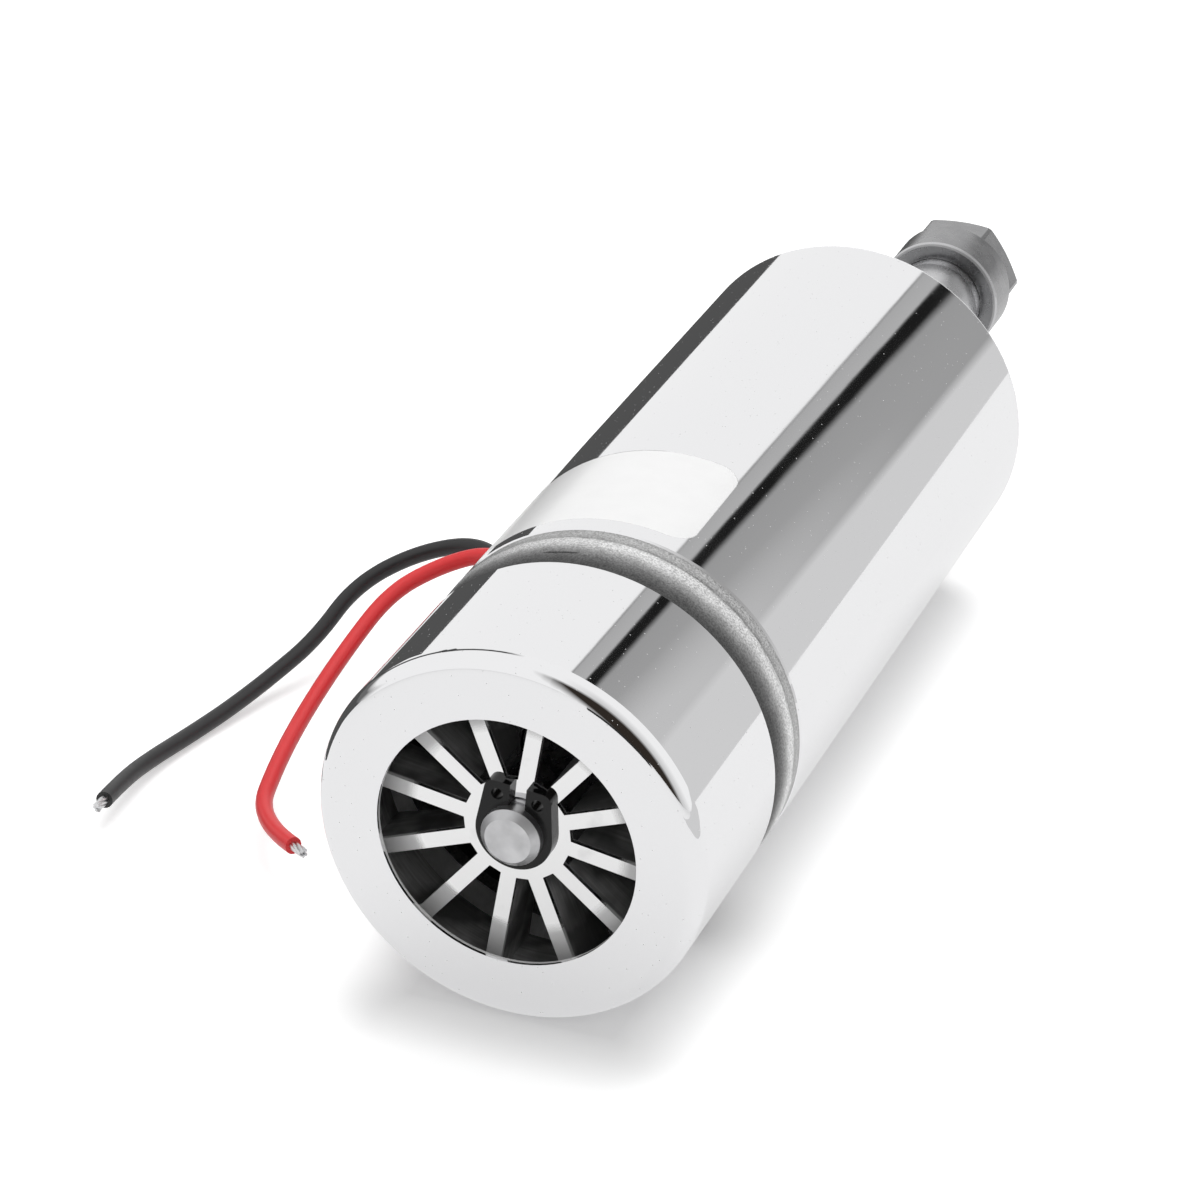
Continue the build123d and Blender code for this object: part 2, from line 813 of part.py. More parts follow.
def commutator_hub():
    return ring(commutator_hub_dia, shaft_core_dia, commutator_rear, commutator_front)


def commutator():
    """Copper bars parted by narrow slots, with a hook ring next to the core."""
    bars = ring(commutator_dia, commutator_hub_dia, commutator_rear, commutator_front)
    for n in range(commutator_bars):
        slot = Pos(commutator_dia / 2, 0) * Rectangle(2 * commutator_slot_depth, commutator_slot_width)
        bars -= along(Rot(0, 0, 360 * n / commutator_bars) * slot, commutator_rear - 1, commutator_front + 1)
    return bars


def spindle_shaft():
    """One ground shaft: fan seat, bearing seats, core seat, and the nose with the collet's taper."""
    mouth = collet_dia / 2 - collet_mouth_reach * tan(radians(collet_taper)) + collet_fit
    cone_root = nose_end - collet_cone_length - taper_run_out
    root = mouth - (nose_end - cone_root) * tan(radians(collet_taper))
    rear = shaft_rear_dia / 2
    core = shaft_core_dia / 2
    seat = front_bearing_bore / 2
    nose = nose_dia / 2
    relief_front = nut_rear - nose_thread_start_gap
    shaft = turned(
        (0, shaft_rear),
        (rear - shaft_rear_chamfer, shaft_rear),
        (rear, shaft_rear + shaft_rear_chamfer),
        (rear, rear_bearing_front),
        (core, rear_bearing_front),
        (core, front_bearing_rear - bearing_seat_run_out),
        (seat, front_bearing_rear - bearing_seat_run_out),
        (seat, front_bearing_front),
        (nose, front_bearing_front),
        (nose, relief_front - nose_relief_length),
        (nose_relief_dia / 2, relief_front - nose_relief_length),
        (nose_relief_dia / 2, relief_front),
        (nose_thread_dia / 2, relief_front),
        (nose_thread_dia / 2, nose_end - nose_end_chamfer),
        (nose_thread_dia / 2 - nose_end_chamfer, nose_end),
        (mouth, nose_end),
        (root, cone_root),
        (tool_bore_dia / 2, cone_root),
        (tool_bore_dia / 2, nose_end - tool_bore_depth),
        (0, nose_end - tool_bore_depth - tool_bore_dia / 2 * tan(radians(tool_bore_cone))),
    )
    shaft -= ring(shaft_rear_dia + 2, circlip_groove_dia, fan_face - circlip_thickness, fan_face)
    groove = front_bearing_rear - bearing_circlip_thickness
    shaft -= ring(front_bearing_bore + 2, bearing_circlip_groove_dia, groove, front_bearing_rear)
    half = spanner_flat_width / 2
    for side in (-1, 1):
        cut = Pos(side * (half + nose_dia / 2), 0) * Rectangle(nose_dia, 2 * nose_dia)
        cut = Rot(0, 0, spanner_flat_angle) * cut
        shaft -= along(cut, spanner_flat_start, spanner_flat_start + spanner_flat_length)
    return shaft


def bearing_circlip():
    """Plain retaining ring behind the front bearings' inner races."""
    radius = front_bearing_bore / 2 + bearing_circlip_stand
    outline = Circle(radius) - Circle(bearing_circlip_groove_dia / 2)
    outline -= Pos(0, radius) * Rectangle(bearing_circlip_gap, 2 * radius)
    return along(outline, front_bearing_rear - bearing_circlip_thickness, front_bearing_rear)


def fan_spacer():
    return ring(fan_spacer_dia, shaft_rear_dia, fan_face + fan_sheet, rear_bearing_rear)


def cooling_fan():
    """Stamped wheel: a flat disc of spokes, a sloped shoulder, an outer wall, and a bent blade per window."""
    face = fan_face
    bore = shaft_rear_dia / 2
    rim = fan_radius
    edge = fan_window_radius
    back = face + fan_depth
    outside = [
        (bore, face),
        (edge, face),
        (rim, face + fan_shoulder_drop),
        (rim, back),
    ]
    inside = [
        (rim - fan_sheet, back),
        (rim - fan_sheet, face + fan_shoulder_drop + fan_sheet / 2),
        (edge, face + fan_sheet),
        (bore, face + fan_sheet),
    ]
    fan = turned(*outside, *inside)
    for n in range(fan_spoke_count):
        angle = fan_spoke_phase + 360 * (n + 0.5) / fan_spoke_count
        fan -= along(Rot(0, 0, angle) * fan_window(), face - 1, face + fan_shoulder_drop)
    blades = [fan_blade(fan_spoke_phase + 360 * n / fan_spoke_count) for n in range(fan_spoke_count)]
    return fan + blades


def fan_window():
    """One window between two spokes, pointing along local x, with rounded outer corners."""
    half = 180 / fan_spoke_count
    offset = fan_spoke_width / 2

    def corner(radius, side):
        run = sqrt(radius**2 - offset**2)
        x = run * cos(radians(half)) + offset * sin(radians(half))
        y = run * sin(radians(half)) - offset * cos(radians(half))
        return (x, side * y)

    inner = fan_window_inner_dia / 2
    outer = fan_window_radius
    outline = Curve() + [
        Line(corner(inner, -1), corner(outer, -1)),
        ThreePointArc(corner(outer, -1), (outer, 0), corner(outer, 1)),
        Line(corner(outer, 1), corner(inner, 1)),
        Line(corner(inner, 1), corner(inner, -1)),
    ]
    window = make_face(outline)
    far = window.vertices().sort_by(Axis.X)[-2:]
    return fillet(far, fan_window_corner)


def fan_blade(spoke_angle):
    """One blade, bent inward from the edge of a spoke that faces the next window."""
    face = fan_face + fan_sheet / 2
    root = blade_inner_dia / 2
    rim = fan_radius - fan_sheet / 2
    outline = Polyline(
        (root, face),
        (fan_window_radius, face),
        (rim, face + fan_shoulder_drop),
        (rim, fan_face + fan_depth),
        (root, fan_face + fan_depth - blade_inner_cut),
        close=True,
    )
    offset = fan_spoke_width / 2 - blade_thickness
    plate = extrude(Pos(0, 0, offset) * make_face(outline), amount=blade_thickness)
    return Rot(0, -spoke_angle, 0) * plate


def fan_circlip():
    """Heavy circlip in front of the fan, with two holed ears and a gap between them."""
    ring_shape = Circle(circlip_ring_dia / 2)
    ears = Pos(circlip_ear_reach, circlip_ear_spread) * Circle(circlip_ear_round)
    ears += Pos(circlip_ear_reach, -circlip_ear_spread) * Circle(circlip_ear_round)
    outline = make_hull(ring_shape.edges() + ears.edges())
    outline -= Circle(circlip_groove_dia / 2)
    outline -= Pos(circlip_groove_dia, 0) * Rectangle(circlip_groove_dia * 1.6, circlip_gap_width)
    for side in (-1, 1):
        outline -= Pos(circlip_hole_reach, side * circlip_hole_spread) * Circle(circlip_hole_dia / 2)
    return along(Rot(0, 0, circlip_gap_angle) * outline, fan_face - circlip_thickness, fan_face)


def collet_stations():
    """Stations of the collet, from its tail to its front face."""
    widest = nose_end + collet_mouth_reach
    tail = widest - collet_cone_length
    groove = widest + collet_land_length
    rim = groove + collet_groove_length
    return tail, widest, groove, rim, rim + collet_rim_length


def collet():
    """Spring collet: a long rear taper, a snap groove, a front cone, and slots from both ends."""
    tail, widest, groove, rim, face = collet_stations()
    slope = tan(radians(collet_taper))
    top = collet_dia / 2
    bore = collet_bore_dia / 2
    body = turned(
        (bore, tail),
        (top - collet_cone_length * slope, tail),
        (top, widest),
        (top, widest + collet_edge_length),
        (collet_groove_dia / 2, groove),
        (collet_groove_dia / 2, rim),
        (collet_rim_dia / 2, rim),
        (collet_rim_dia / 2 - collet_rim_chamfer, face),
        (bore, face),
    )
    for n in range(collet_slots):
        slot = Pos(collet_dia / 2, 0) * Rectangle(collet_dia, collet_slot_width)
        front = Rot(0, 0, 360 * n / collet_slots) * slot
        rear = Rot(0, 0, 360 * (n + 0.5) / collet_slots) * slot
        body -= along(front, tail + collet_slot_stop, face + 1)
        body -= along(rear, tail - 1, face - collet_slot_stop)
    return body


def collet_nut():
    """Nut with a round collar at the spindle side, a bevelled hexagon, and a ring that holds the collet."""
    tail, widest, groove, rim, face = collet_stations()
    front = nut_rear + nut_length
    hexagon_start = nut_rear + nut_flat_start
    bore = nose_thread_dia / 2 + nut_thread_fit
    envelope = turned(
        (0, nut_rear),
        (nut_collar_dia / 2 - nut_collar_chamfer, nut_rear),
        (nut_collar_dia / 2, nut_rear + nut_collar_chamfer),
        (nut_corner_dia / 2, front - nut_bevel),
        (nut_corner_dia / 2 - nut_bevel_reach, front),
        (0, front),
    )
    hexagon = Rot(0, 0, nut_hex_phase) * RegularPolygon(nut_across_flats / 2, 6, major_radius=False)
    cutter = along(Circle(body_radius) - hexagon, hexagon_start, front + 1)
    nut = envelope - cutter
    shoulder = widest + collet_edge_length + collet_fit
    hook_rear = rim - nut_hook_gap
    hook = collet_groove_dia / 2 + nut_hook_gap
    nut -= rod(2 * bore, nut_rear - 1, nose_end + nut_thread_reach)
    nut -= rod(collet_dia + 2 * nut_inner_gap, nut_rear - 1, shoulder)
    nut -= turned(
        (0, widest),
        (collet_dia / 2 + nut_inner_gap, widest),
        (collet_dia / 2 + nut_inner_gap, shoulder),
        (hook, groove + collet_fit),
        (hook, hook_rear),
        (0, hook_rear),
    )
    nut -= rod(collet_rim_dia + 2 * nut_inner_gap, hook_rear, front + 1)
    return nut


PARTS = {
    "motor_tube": motor_tube,
    "front_plate": front_plate,
    "front_seal": front_seal,
    "bearing_retainer": bearing_retainer,
    "retainer_screws": retainer_screws,
    "front_bearing_outer": lambda: front_outer_race(0),
    "front_bearing_inner": lambda: front_inner_race(0),
    "second_bearing_outer": lambda: front_outer_race(1),
    "second_bearing_inner": lambda: front_inner_race(1),
    "rear_bearing_outer": rear_outer_race,
    "rear_bearing_inner": rear_inner_race,
    "wave_washer": wave_washer,
    "rear_bell": rear_bell,
    "rear_cap": rear_cap,
    "lead_grommet": lead_grommet,
    "field_magnets": field_magnets,
    "magnet_clips": magnet_clips,
    "tie_bolts": tie_bolts,
    "brush_card": brush_card,
    "card_screws": card_screws,
    "brush_holder_left": lambda: brush_holder(-1),
    "brush_holder_right": lambda: brush_holder(1),
    "brush_left": lambda: brush(-1),
    "brush_right": lambda: brush(1),
    "brush_spring_left": lambda: brush_spring(-1),
    "brush_spring_right": lambda: brush_spring(1),
    "brush_leads": brush_leads,
    "red_lead": red_lead,
    "black_lead": black_lead,
    "red_lead_tip": lambda: lead_tip(red_route),
    "black_lead_tip": lambda: lead_tip(black_route),
    "armature_core": armature_core,
    "armature_windings": armature_windings,
    "commutator": commutator,
    "commutator_hub": commutator_hub,
    "spindle_shaft": spindle_shaft,
    "bearing_circlip": bearing_circlip,
    "fan_spacer": fan_spacer,
    "cooling_fan": cooling_fan,
    "fan_circlip": fan_circlip,
    "collet": collet,
    "collet_nut": collet_nut,
}
for name, make in PARTS.items():
    export_step(make(), f"parts/{name}.step")
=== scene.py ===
"""Looks of the motor spindle: chromed tube and cap, cast ring, spoked fan, collet nut, leads."""

from math import cos, pi, radians, sin

import bpy
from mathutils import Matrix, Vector


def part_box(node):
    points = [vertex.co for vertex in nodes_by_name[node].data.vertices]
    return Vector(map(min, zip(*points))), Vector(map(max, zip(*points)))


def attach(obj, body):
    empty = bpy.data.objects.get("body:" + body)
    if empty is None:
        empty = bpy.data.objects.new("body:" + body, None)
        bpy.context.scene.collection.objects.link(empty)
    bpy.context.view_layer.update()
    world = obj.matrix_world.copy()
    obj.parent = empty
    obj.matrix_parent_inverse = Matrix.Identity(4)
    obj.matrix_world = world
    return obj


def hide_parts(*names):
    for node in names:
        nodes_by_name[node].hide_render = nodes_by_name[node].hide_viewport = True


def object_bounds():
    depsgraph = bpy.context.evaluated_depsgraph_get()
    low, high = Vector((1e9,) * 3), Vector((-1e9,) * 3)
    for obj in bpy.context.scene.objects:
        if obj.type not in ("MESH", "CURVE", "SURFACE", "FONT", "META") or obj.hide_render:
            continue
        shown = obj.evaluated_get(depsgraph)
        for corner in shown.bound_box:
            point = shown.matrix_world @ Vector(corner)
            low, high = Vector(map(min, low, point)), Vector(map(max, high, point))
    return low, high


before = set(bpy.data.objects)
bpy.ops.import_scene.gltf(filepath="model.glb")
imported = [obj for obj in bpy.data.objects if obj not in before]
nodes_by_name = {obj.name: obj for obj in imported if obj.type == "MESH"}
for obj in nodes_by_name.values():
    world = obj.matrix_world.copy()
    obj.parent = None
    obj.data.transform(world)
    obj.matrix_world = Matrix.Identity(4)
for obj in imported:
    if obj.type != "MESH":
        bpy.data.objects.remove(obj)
cad_low, cad_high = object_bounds()

MM = 0.001
scene = bpy.context.scene

# Camera, worked out from the photograph
CAMERA_PLACE = Vector((169.88, -527.9, 266.04)) * MM
CAMERA_YAW = -0.37989
CAMERA_PITCH = 0.49558
CAMERA_LENS = 122.5
SENSOR_WIDTH = 36.0
CAMERA_RANGE = (0.01, 50.0)

# Object sizes that the materials need
BODY_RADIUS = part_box("motor_tube")[1].x
TUBE_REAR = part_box("motor_tube")[0].y
TUBE_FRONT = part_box("motor_tube")[1].y
TUBE_EDGE = 0.5 * MM
CAP_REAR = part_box("rear_cap")[0].y
CAP_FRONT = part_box("rear_cap")[1].y
CAP_SHEET = 0.8 * MM
CAP_ROUND = 2.4 * MM
FAN_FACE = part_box("cooling_fan")[0].y
FAN_SHEET = 0.8 * MM
SPOKE_DULL_START = 13.6 * MM
SPOKE_DULL_END = 15.2 * MM
NOSE_START = 1.0 * MM
NUT_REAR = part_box("collet_nut")[0].y
NUT_COLLAR_RADIUS = 9.6 * MM
NUT_CHAMFER = 0.5 * MM

# Sticker: places along the spindle, and angles round it in degrees from +X towards +Z
STICKER_FRONT = -73.6 * MM
STICKER_REAR = -94.9 * MM
STICKER_LOW_ANGLE = 69.5
STICKER_HIGH_ANGLE = 176.0
STICKER_CORNER = 3.5 * MM
STICKER_BLUR = 0.05 * MM
STICKER_THICKNESS = 0.06 * MM

# Leads: routes in millimetres, from the grommet to the stripped ends
LEAD_DIAMETER = 2.4 * MM
RED_LENGTH = 0.133
BLACK_LENGTH = 0.147
RED_ROUTE = [
    (-25.9, -100.8, -5.3), (-31.6, -100.8, -5.3), (-34.6, -95.3, -5.8), (-33.6, -84.0, -6.5),
    (-31.6, -71.0, -6.8), (-30.4, -61.0, -6.6), (-32.8, -54.4, -6.3), (-37.9, -52.6, -6.6),
    (-44.0, -55.6, -8.6), (-48.8, -61.5, -10.9), (-50.8, -71.8, -14.9), (-51.2, -84.5, -18.1),
    (-49.6, -97.3, -19.4), (-46.7, -110.2, -20.6), (-38.1, -116.3, -19.2),
]
BLACK_ROUTE = [
    (-25.9, -100.8, -8.1), (-31.8, -100.8, -8.1), (-36.6, -95.5, -10.0), (-37.3, -83.0, -12.0),
    (-36.6, -70.0, -12.4), (-36.0, -57.0, -11.8), (-36.0, -48.5, -10.9), (-42.1, -44.3, -9.7),
    (-50.9, -47.1, -11.7), (-58.1, -53.1, -15.5), (-60.7, -61.7, -20.7), (-63.8, -70.3, -23.1),
    (-66.2, -78.7, -24.3), (-68.5, -87.2, -24.7), (-70.1, -95.4, -24.3), (-70.2, -103.3, -23.2),
    (-69.2, -111.0, -22.1),
]

# Tinned strands at the stripped ends: one in the middle, the others twisted round it, all a
# little uneven in length and lay
STRAND_COUNT = 7
STRAND_POINTS = 6
STRAND_RADIUS = 0.24 * MM
STRAND_LAY_RADIUS = 0.46 * MM
STRAND_LENGTH = 3.0 * MM
STRAND_TWIST = 1.6
STRAND_SHORTEST = 0.86
STRAND_SPARE = 0.14
STRAND_LENGTH_STEP = 2.4
STRAND_SPLAY = 0.12
STRAND_SPLAY_STEP = 3.1

# Range of a noise that matters: it seldom leaves the middle
NOISE_SPAN = (0.3, 0.7)


def grey(level):
    return (level, level, level)


def darker(color, share):
    return tuple(part * (1 - share) for part in color)


class Graph:
    """Shader nodes of a material or of the world, with a short call for each step used here."""

    def __init__(self, tree):
        self.nodes = tree.nodes
        self.links = tree.links

    def put(self, value, socket):
        """Gives a socket a number or a colour, or links another node's output to it."""
        if isinstance(value, (int, float)):
            socket.default_value = value
        elif isinstance(value, tuple):
            socket.default_value = (*value, 1)
        else:
            self.links.new(value, socket)

    def math(self, operation, *values):
        node = self.nodes.new("ShaderNodeMath")
        node.operation = operation
        for value, socket in zip(values, node.inputs):
            self.put(value, socket)
        return node.outputs[0]

    def add(self, first, second):
        return self.math("ADD", first, second)

    def subtract(self, first, second):
        return self.math("SUBTRACT", first, second)

    def multiply(self, first, second):
        return self.math("MULTIPLY", first, second)

    def larger(self, first, second):
        return self.math("MAXIMUM", first, second)

    def excess(self, value, limit):
        """How far a value is above a limit, and 0 below it."""
        return self.larger(self.subtract(value, limit), 0.0)

    def square_sum(self, first, second):
        return self.add(self.multiply(first, first), self.multiply(second, second))

    def hypotenuse(self, first, second):
        return self.math("SQRT", self.square_sum(first, second))

    def spread(self, source, low, high, to_low=0.0, to_high=1.0):
        """Maps a range of a value to another range, held at its ends."""
        node = self.nodes.new("ShaderNodeMapRange")
        for name, value in (
            ("Value", source), ("From Min", low), ("From Max", high),
            ("To Min", to_low), ("To Max", to_high),
        ):
            self.put(value, node.inputs[name])
        return node.outputs["Result"]

    def contrast(self, pattern, low=0.0, high=1.0):
        """Stretches a noise over a whole range."""
        return self.spread(pattern, *NOISE_SPAN, low, high)

    def parts(self, vector):
        """The X, Y and Z of a vector."""
        node = self.nodes.new("ShaderNodeSeparateXYZ")
        self.links.new(vector, node.inputs[0])
        return node.outputs

    def vector_math(self, operation, first):
        node = self.nodes.new("ShaderNodeVectorMath")
        node.operation = operation
        self.links.new(first, node.inputs[0])
        return node

    def dot(self, vector, fixed):
        node = self.vector_math("DOT_PRODUCT", vector)
        node.inputs[1].default_value = fixed
        return node.outputs["Value"]

    def product(self, first, second):
        """Two colours multiplied part by part."""
        node = self.vector_math("MULTIPLY", first)
        self.links.new(second, node.inputs[1])
        return node.outputs[0]

    def mix_color(self, factor, first, second):
        node = self.nodes.new("ShaderNodeMix")
        node.data_type = "RGBA"
        self.put(factor, node.inputs[0])
        self.put(first, node.inputs[6])
        self.put(second, node.inputs[7])
        return node.outputs[2]

    def ramp(self, source, stops):
        """A grey that follows (position, level) stops along a value from 0 to 1."""
        node = self.nodes.new("ShaderNodeValToRGB")
        self.links.new(source, node.inputs[0])
        elements = node.color_ramp.elements
        while len(elements) < len(stops):
            elements.new(0.5)
        for element, (place, level) in zip(elements, stops):
            element.position = place
            element.color = (*grey(level), 1)
        return node.outputs[0]

    def ray_kinds(self):
        """Whether a ray comes straight from the camera, and whether it is a reflection."""
        path = self.nodes.new("ShaderNodeLightPath")
        direct = self.larger(path.outputs["Is Camera Ray"], path.outputs["Is Transmission Ray"])
        return direct, path.outputs["Is Glossy Ray"]

    def coordinates(self, kind):
        return self.nodes.new("ShaderNodeTexCoord").outputs[kind]

    def shade(self, kind, **values):
        """A shader node such as an emission, with its inputs by name."""
        node = self.nodes.new(kind)
        for name, value in values.items():
            self.put(value, node.inputs[name])
        return node.outputs[0]

    def finish(self, kind, shader):
        self.links.new(shader, self.nodes.new(kind).inputs[0])


class Surface(Graph):
    """A procedural material under construction. Patterns use object coordinates, in metres."""

    def __init__(self, name, base, metallic, roughness):
        self.material = bpy.data.materials.new(name)
        self.material.use_nodes = True
        super().__init__(self.material.node_tree)
        self.shader = self.nodes["Principled BSDF"]
        self.place = self.coordinates("Object")
        self.set("Base Color", base)
        self.set("Metallic", metallic)
        self.set("Roughness", roughness)

    def set(self, name, value):
        self.put(value, self.shader.inputs[name])

    def source(self, name):
        """What is linked to one of the shader's inputs so far."""
        return self.shader.inputs[name].links[0].from_socket

    def noise(self, scale, detail, stretch=(1, 1, 1)):
        """Noise whose features are about 1/scale metres wide."""
        mapping = self.nodes.new("ShaderNodeMapping")
        mapping.inputs["Scale"].default_value = stretch
        self.links.new(self.place, mapping.inputs["Vector"])
        texture = self.nodes.new("ShaderNodeTexNoise")
        texture.inputs["Scale"].default_value = scale
        texture.inputs["Detail"].default_value = detail
        self.links.new(mapping.outputs["Vector"], texture.inputs["Vector"])
        return texture.outputs["Fac"]

    def specks(self, scale, size):
        """1 in tiny scattered dots, 0 elsewhere. The size is a share of their spacing."""
        cells = self.nodes.new("ShaderNodeTexVoronoi")
        cells.inputs["Scale"].default_value = scale
        self.links.new(self.place, cells.inputs["Vector"])
        return self.spread(cells.outputs["Distance"], size, size * 0.6)

    def axis_value(self, name):
        return self.parts(self.place)[name]

    def axis_radius(self):
        """Distance from the spindle axis."""
        return self.hypotenuse(self.axis_value("X"), self.axis_value("Z"))

    def bump(self, height, distance, over=None):
        """Adds relief in metres to the surface, on top of another relief if one is given."""
        node = self.nodes.new("ShaderNodeBump")
        node.inputs["Distance"].default_value = distance
        node.inputs["Strength"].default_value = 1.0
        self.links.new(height, node.inputs["Height"])
        if over is not None:
            self.links.new(over, node.inputs["Normal"])
        self.set("Normal", node.outputs["Normal"])
        return node.outputs["Normal"]


CHROME = (0.90, 0.90, 0.91)
CHROME_ROUGHNESS = 0.03
HAZE_SPAN = (0.35, 0.75)
HAZE_ROUGHNESS = (0.025, 0.06)
DUST_COLOR = grey(0.80)
DUST_ROUGHNESS = 0.75
WAVE_RELIEF = 0.000012
PLATING_RELIEF = 0.0000004


def chrome(name):
    """Bright plating: nearly a mirror, with a faint haze, dust and a very slight waviness."""
    surface = Surface(name, CHROME, 1.0, CHROME_ROUGHNESS)
    haze = surface.spread(surface.noise(scale=60, detail=4), *HAZE_SPAN, *HAZE_ROUGHNESS)
    coarse = surface.specks(scale=420, size=0.045)
    fine = surface.specks(scale=850, size=0.085)
    dust = surface.larger(coarse, fine)
    surface.set("Roughness", surface.larger(haze, surface.multiply(dust, DUST_ROUGHNESS)))
    surface.set("Base Color", surface.mix_color(dust, CHROME, DUST_COLOR))
    wave = surface.bump(surface.noise(scale=45, detail=2), WAVE_RELIEF)
    grain = surface.noise(scale=2600, detail=2, stretch=(1, 0.3, 1))
    surface.bump(grain, PLATING_RELIEF, over=wave)
    return surface


def rounded_box_mask(surface, along, half_along, across, half_across):
    """1 inside the sticker's rounded rectangle, from two centred coordinates in metres."""
    corner = STICKER_CORNER
    beyond_along = surface.excess(surface.math("ABSOLUTE", along), half_along - corner)
    beyond_across = surface.excess(surface.math("ABSOLUTE", across), half_across - corner)
    distance = surface.hypotenuse(beyond_along, beyond_across)
    return surface.spread(distance, corner + STICKER_BLUR, corner - STICKER_BLUR)


FILM_COLORS = (grey(0.88), grey(0.93))
FILM_ROUGHNESS = 0.22
TUBE_EDGE_DULLING = 0.7
TUBE_EDGE_FADE = 1.3


def tube_material():
    """Chrome with a plain white film sticker near its rear end, and a duller front edge."""
    surface = chrome("chromed_tube")
    angle = surface.math("ARCTAN2", surface.axis_value("Z"), surface.axis_value("X"))
    middle = radians((STICKER_LOW_ANGLE + STICKER_HIGH_ANGLE) / 2)
    across = surface.multiply(surface.subtract(angle, middle), BODY_RADIUS)
    half_across = radians(STICKER_HIGH_ANGLE - STICKER_LOW_ANGLE) / 2 * BODY_RADIUS
    along = surface.subtract(surface.axis_value("Y"), (STICKER_FRONT + STICKER_REAR) / 2)
    half_along = (STICKER_FRONT - STICKER_REAR) / 2
    sticker = rounded_box_mask(surface, along, half_along, across, half_across)
    film = surface.mix_color(surface.noise(scale=300, detail=2), *FILM_COLORS)
    surface.set("Base Color", surface.mix_color(sticker, surface.source("Base Color"), film))
    plating = surface.subtract(1.0, sticker)
    plating_roughness = surface.multiply(surface.source("Roughness"), plating)
    film_roughness = surface.multiply(sticker, FILM_ROUGHNESS)
    surface.set("Roughness", surface.add(plating_roughness, film_roughness))
    edge = surface.spread(
        surface.axis_value("Y"), TUBE_FRONT - TUBE_EDGE * TUBE_EDGE_FADE, TUBE_FRONT - TUBE_EDGE
    )
    dulling = surface.multiply(edge, TUBE_EDGE_DULLING)
    surface.set("Metallic", surface.subtract(plating, dulling))
    surface.bump(sticker, STICKER_THICKNESS, over=surface.source("Normal"))
    return surface.material


CAP_INSIDE_COLOR = grey(0.88)
CAP_INSIDE_ROUGHNESS = 0.45
CAP_INSIDE_DULLING = 0.7


def cap_material():
    """Chrome outside, and a satin unpolished face inside, round the fan."""
    surface = chrome("chromed_cap")
    outward = surface.excess(surface.axis_radius(), BODY_RADIUS - CAP_ROUND)
    rearward = surface.excess(CAP_REAR + CAP_ROUND, surface.axis_value("Y"))
    middle_of_sheet = (CAP_ROUND - CAP_SHEET / 2) ** 2
    inside = surface.math("LESS_THAN", surface.square_sum(outward, rearward), middle_of_sheet)
    color = surface.mix_color(inside, surface.source("Base Color"), CAP_INSIDE_COLOR)
    surface.set("Base Color", color)
    satin = surface.multiply(inside, CAP_INSIDE_ROUGHNESS)
    surface.set("Roughness", surface.larger(surface.source("Roughness"), satin))
    surface.set("Metallic", surface.subtract(1.0, surface.multiply(inside, CAP_INSIDE_DULLING)))
    return surface.material


# The cast ring: painted shade and highlight from the cap (0) to the tube (1), and where its round
# part ends
RING_PAINTED_SHADING = (
    (0.0, 0.085), (0.20, 0.10), (0.32, 0.18), (0.45, 0.38), (0.57, 0.72), (0.66, 0.85),
    (0.72, 0.74), (0.755, 0.44), (0.79, 0.28), (0.83, 0.46), (0.93, 0.54), (1.0, 0.42),
)
RING_CROWN = 0.755
RING_RAGGEDNESS = 0.035
RAGGED_SPAN = (0.2, 0.8)
SAND_SPAN = (0.32, 0.68)
SAND_TONES = (grey(0.62), grey(1.3))
CAST_ROUGHNESS = (0.28, 0.44)
CROWN_RELIEF = 0.0024
LUMP_RELIEF = 0.00007
SAND_RELIEF = 0.00006


def cast_material():
    """Rough grey casting: a sandy round ring and a land, with painted shade in its dip to the cap
    and in its groove, and a painted highlight on its crown.
    """
    surface = Surface("cast_ring", grey(0.42), 0.80, 0.36)
    across = surface.spread(surface.axis_value("Y"), CAP_FRONT, TUBE_REAR)
    ragged = surface.spread(
        surface.noise(scale=350, detail=4), *RAGGED_SPAN, -RING_RAGGEDNESS, RING_RAGGEDNESS
    )
    # Painted light: shade in the dip to the cap and in the groove, a highlight on the crown, with
    # sand grain over it.
    tone = surface.ramp(surface.add(across, ragged), RING_PAINTED_SHADING)
    grain = surface.noise(scale=3800, detail=4)
    sand = surface.mix_color(surface.spread(grain, *SAND_SPAN), *SAND_TONES)
    surface.set("Base Color", surface.product(tone, sand))
    surface.set("Roughness", surface.contrast(grain, *CAST_ROUGHNESS))
    beyond = surface.larger(surface.subtract(RING_CROWN, across), 0.0)
    drop = surface.multiply(surface.multiply(beyond, beyond), -1.0)
    rounded = surface.bump(drop, CROWN_RELIEF)
    lumps = surface.bump(surface.noise(scale=1300, detail=3), LUMP_RELIEF, over=rounded)
    surface.bump(grain, SAND_RELIEF, over=lumps)
    return surface.material


METAL_SHADE = 0.15


def metal(name, base, roughness, scale=1500, stretch=(1, 1, 1), relief=0.000002):
    """Plain machined or drawn metal, with a grain along or across the part."""
    surface = Surface(name, base, 1.0, roughness)
    pattern = surface.noise(scale, 4, stretch)
    surface.set("Base Color", surface.mix_color(pattern, darker(base, METAL_SHADE), base))
    surface.set("Roughness", surface.contrast(pattern, roughness * 0.8, roughness * 1.25))
    surface.bump(pattern, relief)
    return surface.material


TURNING_PITCH = 0.25 * MM
TURNING_RELIEF = 0.0000015
TURNED_SHADE = 0.2


def turned_metal(name, base, roughness):
    """Metal faced on a lathe: fine rings round the spindle axis."""
    surface = Surface(name, base, 1.0, roughness)
    rings = surface.math("SINE", surface.multiply(surface.axis_radius(), 2 * pi / TURNING_PITCH))
    stain = surface.noise(scale=500, detail=4)
    color = surface.mix_color(surface.contrast(stain), darker(base, TURNED_SHADE), base)
    surface.set("Base Color", color)
    surface.set("Roughness", surface.contrast(stain, roughness * 0.8, roughness * 1.3))
    surface.bump(rings, TURNING_RELIEF)
    return surface.material


